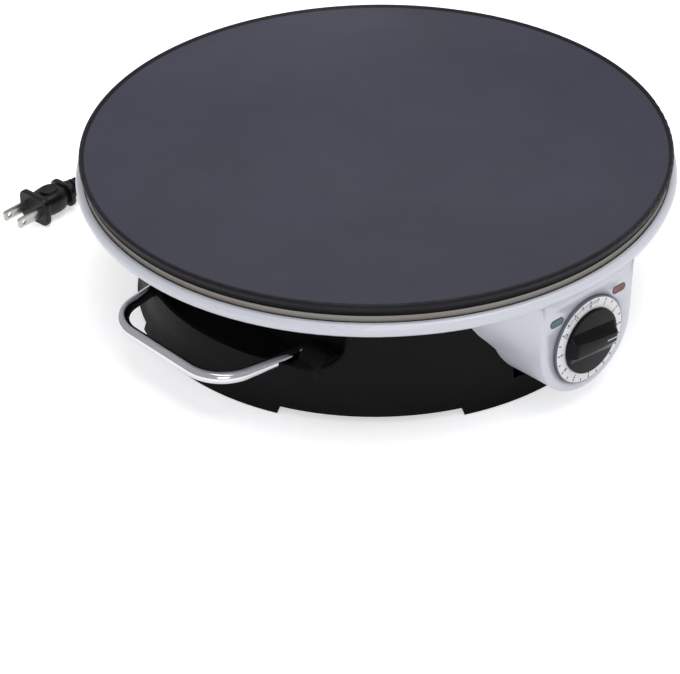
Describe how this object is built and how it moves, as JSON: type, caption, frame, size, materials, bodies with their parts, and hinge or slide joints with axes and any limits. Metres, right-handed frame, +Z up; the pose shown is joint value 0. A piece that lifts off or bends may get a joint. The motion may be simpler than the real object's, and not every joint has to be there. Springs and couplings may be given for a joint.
{
  "type": "electric crepe maker",
  "caption": "Electric crepe maker: flat round griddle plate on a silver ring and black base, with a dial and lamps in front, folding wire handles at the sides, and a mains cord.",
  "frame": {"origin": "centre of the base on the table top", "axes": "+Z up, the dial faces -Y, the handles are at -X and +X, the mains cord leaves at +Y"},
  "size_m": [0.341, 0.4135, 0.0952],
  "materials": {
    "griddle": "matt non-stick coating",
    "bare_metal": "satin",
    "zinc_metal": "zinc plated",
    "sheath": "oxidised sheath",
    "silver_shell": "satin silver-white",
    "black_shell": "fine grain",
    "dial_print": "white with dark scale print",
    "knob_black": "gloss",
    "lens_green": "translucent green",
    "lens_red": "translucent red",
    "lamp_glass": "clear",
    "chrome_rod": "polished",
    "phenolic": "moulded resin",
    "pale_plastic": "satin",
    "brass_parts": "plain",
    "foot_rubber": "matt",
    "cord_rubber": "satin",
    "wire_sleeve": "woven sleeve",
    "tie_black": "matt"
  },
  "bodies": {
    "stand": {"cooking_plate": "griddle", "heating_element": "sheath", "element_tabs": "zinc_metal", "element_straps": "zinc_metal", "strap_screws": "zinc_metal", "heat_shield": "bare_metal", "plate_studs": "zinc_metal", "stud_spacers": "zinc_metal", "plate_washers": "zinc_metal", "plate_nuts": "zinc_metal", "thermal_fuse": "pale_plastic", "fuse_bracket": "zinc_metal", "upper_housing": "silver_shell", "dial_plate": "dial_print", "thermostat_body": "phenolic", "thermostat_bracket": "zinc_metal", "bracket_screws": "zinc_metal", "lens_green": "lens_green", "lens_red": "lens_red", "lamp_green": "lamp_glass", "lamp_red": "lamp_glass", "lamp_retainers": "zinc_metal", "base_housing": "black_shell", "bottom_cover": "black_shell", "housing_screws": "zinc_metal", "foot_right": "foot_rubber", "foot_rear": "foot_rubber", "foot_left": "foot_rubber", "foot_front": "foot_rubber", "terminal_block": "pale_plastic", "terminal_screws": "brass_parts", "cord_gland": "cord_rubber", "cord_clamp": "black_shell", "clamp_screws": "zinc_metal", "cord_inner": "cord_rubber", "cord_lead": "cord_rubber", "cord_coil": "cord_rubber", "cord_tail": "cord_rubber", "cord_tie": "tie_black", "plug_body": "cord_rubber", "plug_blades": "brass_parts", "wire_live": "wire_sleeve", "wire_neutral": "wire_sleeve", "wire_switched": "wire_sleeve", "wire_lamps": "wire_sleeve"},
    "knob": {"dial_knob": "knob_black", "thermostat_shaft": "zinc_metal", "knob_clip": "zinc_metal"},
    "left_handle": {"handle_left": "chrome_rod"},
    "right_handle": {"handle_right": "chrome_rod"}
  },
  "joints": [
    {"name": "dial_turn", "type": "hinge", "parent": "stand", "child": "knob", "pos_m": [0, -0.165, 0.0415], "axis": [0, 1, 0], "range_deg": [-105, 165]},
    {"name": "left_handle_lift", "type": "hinge", "parent": "stand", "child": "left_handle", "pos_m": [-0.106, 0, 0.029], "axis": [0, 1, 0], "range_deg": [0, 45]},
    {"name": "right_handle_lift", "type": "hinge", "parent": "stand", "child": "right_handle", "pos_m": [0.106, 0, 0.029], "axis": [0, -1, 0], "range_deg": [0, 45]}
  ]
}
